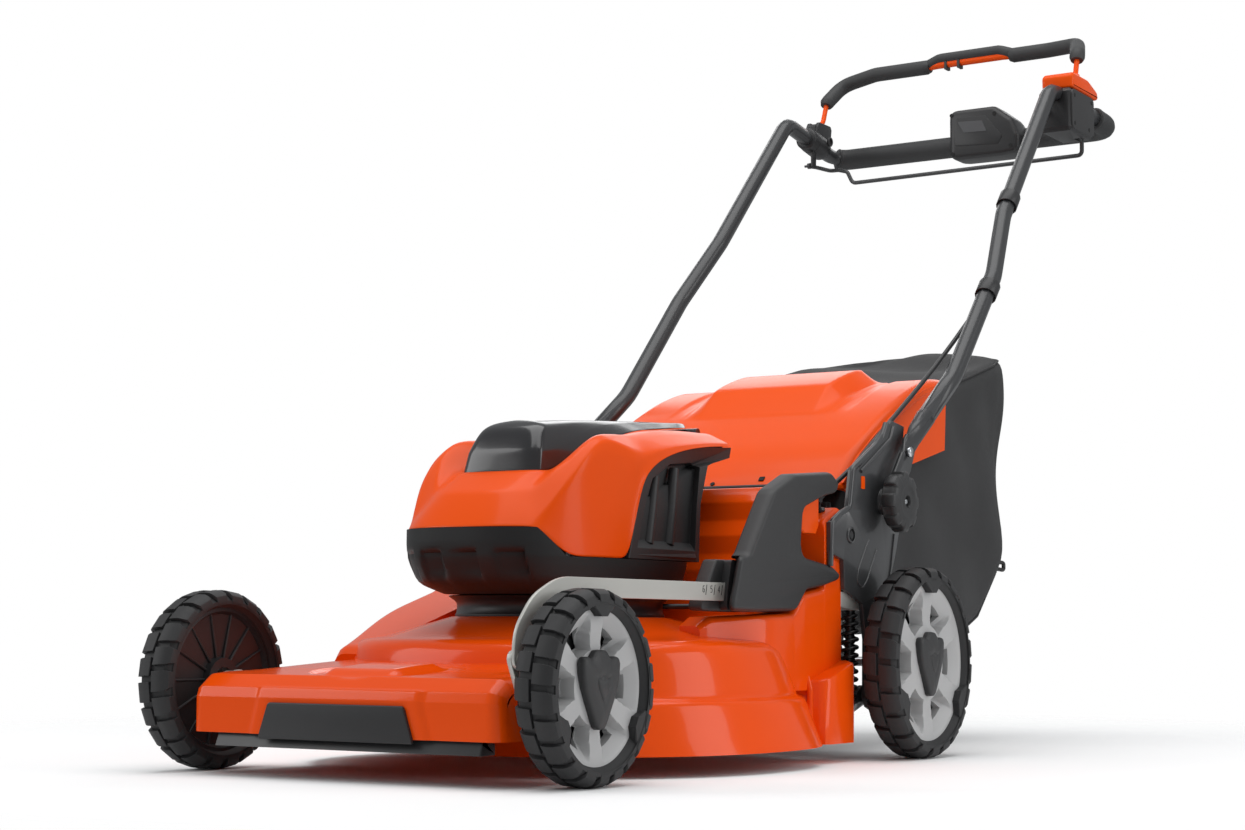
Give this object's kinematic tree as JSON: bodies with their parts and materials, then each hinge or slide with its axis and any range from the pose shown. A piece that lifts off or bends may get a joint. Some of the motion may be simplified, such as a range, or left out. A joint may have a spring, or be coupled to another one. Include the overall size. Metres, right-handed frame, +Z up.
{
  "type": "cordless lawn mower",
  "caption": "Rear-drive cordless lawn mower with a pressed steel deck, motor housing with battery lid, height gear, rear flap, grass bag and folding handle with bails.",
  "frame": {"origin": "on the ground under the middle of the machine's length and width", "axes": "+Z up, -Y towards the front of the machine, +X towards the operator's left"},
  "size_m": [0.6494, 1.6806, 1.1408],
  "materials": {
    "orange_steel": "gloss orange powder coat",
    "orange_plastic": "gloss moulded orange plastic",
    "dark_plastic": "fine-grained dark grey plastic",
    "black_plastic": "satin black plastic",
    "lid_plastic": "gloss black plastic",
    "rim_plastic": "satin light grey plastic",
    "tyre_rubber": "matt black tread rubber",
    "tube_paint": "satin black powder coat",
    "pad_rubber": "soft matt rubber",
    "link_steel": "satin plated steel",
    "zinc": "bright zinc plate",
    "blade_steel": "dark coated steel",
    "motor_metal": "machined aluminium",
    "bag_fabric": "coarse woven dark fabric",
    "spring_steel": "black coated spring steel"
  },
  "bodies": {
    "mower": {"deck_shell": "orange_steel", "front_bumper": "dark_plastic", "motor_base": "black_plastic", "motor_stator": "motor_metal", "motor_lower_cover": "dark_plastic", "motor_upper_cover": "orange_plastic", "vent_column_left": "dark_plastic", "vent_column_right": "dark_plastic", "battery_bay": "black_plastic", "battery_front": "dark_plastic", "battery_rear": "dark_plastic", "side_bracket_left": "dark_plastic", "side_bracket_right": "dark_plastic", "spring_bracket": "link_steel", "height_grip": "dark_plastic", "cable_grommet": "black_plastic", "motor_lead": "black_plastic", "helper_spring": "spring_steel"},
    "blade_drive": {"motor_rotor": "motor_metal", "blade_hub": "zinc", "blade": "blade_steel"},
    "lid": {"battery_lid": "lid_plastic"},
    "front_axle": {"front_axle_frame": "link_steel"},
    "link": {"height_link": "link_steel"},
    "rear_axle": {"rear_axle_frame": "dark_plastic", "drive_gearbox": "black_plastic"},
    "front_wheel_left": {"front_left_tyre": "tyre_rubber", "front_left_disc": "rim_plastic", "front_left_hub_cap": "dark_plastic"},
    "front_wheel_right": {"front_right_tyre": "tyre_rubber", "front_right_disc": "rim_plastic", "front_right_hub_cap": "dark_plastic"},
    "rear_wheel_left": {"rear_left_tyre": "tyre_rubber", "rear_left_disc": "rim_plastic", "rear_left_hub_cap": "dark_plastic", "rear_left_shaft": "zinc"},
    "rear_wheel_right": {"rear_right_tyre": "tyre_rubber", "rear_right_disc": "rim_plastic", "rear_right_hub_cap": "dark_plastic", "rear_right_shaft": "zinc"},
    "trigger": {"height_trigger": "orange_plastic"},
    "flap": {"rear_flap": "orange_plastic"},
    "bag": {"grass_bag": "bag_fabric", "bag_frame": "black_plastic"},
    "handle": {"handle_tube": "tube_paint", "handle_bolt_left": "zinc", "handle_bolt_right": "zinc", "grip_pad": "pad_rubber", "cable_clip_upper": "black_plastic", "cable_clip_lower": "black_plastic", "control_box": "black_plastic", "bail_mount": "black_plastic", "display_housing": "black_plastic", "handle_cable": "black_plastic"},
    "knob_left": {"fold_knob_left": "black_plastic"},
    "knob_right": {"fold_knob_right": "black_plastic"},
    "drive_bail": {"drive_bail_wire": "orange_plastic", "drive_bail_grip": "pad_rubber"},
    "presence_bail": {"presence_bail_wire": "tube_paint"},
    "button": {"power_button": "orange_plastic"}
  },
  "joints": [
    {"name": "blade_spin", "type": "hinge", "parent": "mower", "child": "blade_drive", "pos_m": [0, -0.40975, 0], "axis": [0, 0, 1], "continuous": true},
    {"name": "lid_open", "type": "hinge", "parent": "mower", "child": "lid", "pos_m": [0, -0.14875, 0.4166], "axis": [-1, 0, 0], "range_deg": [0, 70]},
    {"name": "height_adjust", "type": "hinge", "parent": "mower", "child": "front_axle", "pos_m": [0, -0.77375, 0.06], "axis": [-1, 0, 0], "range_deg": [0, 56.8]},
    {"name": "link_swing", "type": "hinge", "parent": "front_axle", "child": "link", "pos_m": [0.2225, -0.81175, 0.1304], "axis": [-1, 0, 0], "range_deg": [-56.8, 0]},
    {"name": "rear_height", "type": "hinge", "parent": "mower", "child": "rear_axle", "pos_m": [0, -0.07195, 0.0795], "axis": [-1, 0, 0], "range_deg": [0, 56.8], "deforming": ["helper_spring"]},
    {"name": "front_wheel_left_spin", "type": "hinge", "parent": "front_axle", "child": "front_wheel_left", "pos_m": [0.2554, -0.73875, 0.1015], "axis": [1, 0, 0], "continuous": true},
    {"name": "front_wheel_right_spin", "type": "hinge", "parent": "front_axle", "child": "front_wheel_right", "pos_m": [-0.2554, -0.73875, 0.1015], "axis": [1, 0, 0], "continuous": true},
    {"name": "rear_wheel_left_spin", "type": "hinge", "parent": "rear_axle", "child": "rear_wheel_left", "pos_m": [0.2997, -0.03695, 0.121], "axis": [1, 0, 0], "continuous": true},
    {"name": "rear_wheel_right_spin", "type": "hinge", "parent": "rear_axle", "child": "rear_wheel_right", "pos_m": [-0.2997, -0.03695, 0.121], "axis": [1, 0, 0], "continuous": true},
    {"name": "height_trigger_pull", "type": "slide", "parent": "mower", "child": "trigger", "axis": [0, 0, 1], "range_m": [0, 0.004], "stiffness_N_per_m": 800, "springref_m": -0.002},
    {"name": "flap_open", "type": "hinge", "parent": "mower", "child": "flap", "pos_m": [0, -0.08575, 0.3473], "axis": [1, 0, 0], "range_deg": [0, 60]},
    {"name": "bag_pull", "type": "slide", "parent": "mower", "child": "bag", "axis": [0, 1, 0], "range_m": [0, 0.4]},
    {"name": "handle_fold", "type": "hinge", "parent": "mower", "child": "handle", "pos_m": [0, -0.03675, 0.326], "axis": [1, 0, 0], "range_deg": [0, 118], "deforming": ["handle_cable"]},
    {"name": "knob_left_turn", "type": "hinge", "parent": "handle", "child": "knob_left", "pos_m": [0.2645, -0.03675, 0.326], "axis": [1, 0, 0], "continuous": true},
    {"name": "knob_right_turn", "type": "hinge", "parent": "handle", "child": "knob_right", "pos_m": [-0.2645, -0.03675, 0.326], "axis": [1, 0, 0], "continuous": true},
    {"name": "drive_bail_squeeze", "type": "hinge", "parent": "handle", "child": "drive_bail", "pos_m": [0, 0.72325, 1.018], "axis": [-1, 0, 0], "range_deg": [0, 20], "stiffness_Nm_per_rad": 2, "springref_deg": -17.19},
    {"name": "presence_bail_squeeze", "type": "hinge", "parent": "handle", "child": "presence_bail", "pos_m": [0, 0.70125, 0.952], "axis": [1, 0, 0], "range_deg": [0, 15], "stiffness_Nm_per_rad": 1, "springref_deg": -17.19},
    {"name": "power_button_press", "type": "slide", "parent": "handle", "child": "button", "axis": [0, -1, 0], "range_m": [0, 0.002], "stiffness_N_per_m": 400, "springref_m": -0.001}
  ],
  "couplings": [
    {"joint": "link_swing", "follows": "height_adjust", "ratio": -1},
    {"joint": "rear_height", "follows": "height_adjust", "ratio": 1}
  ]
}
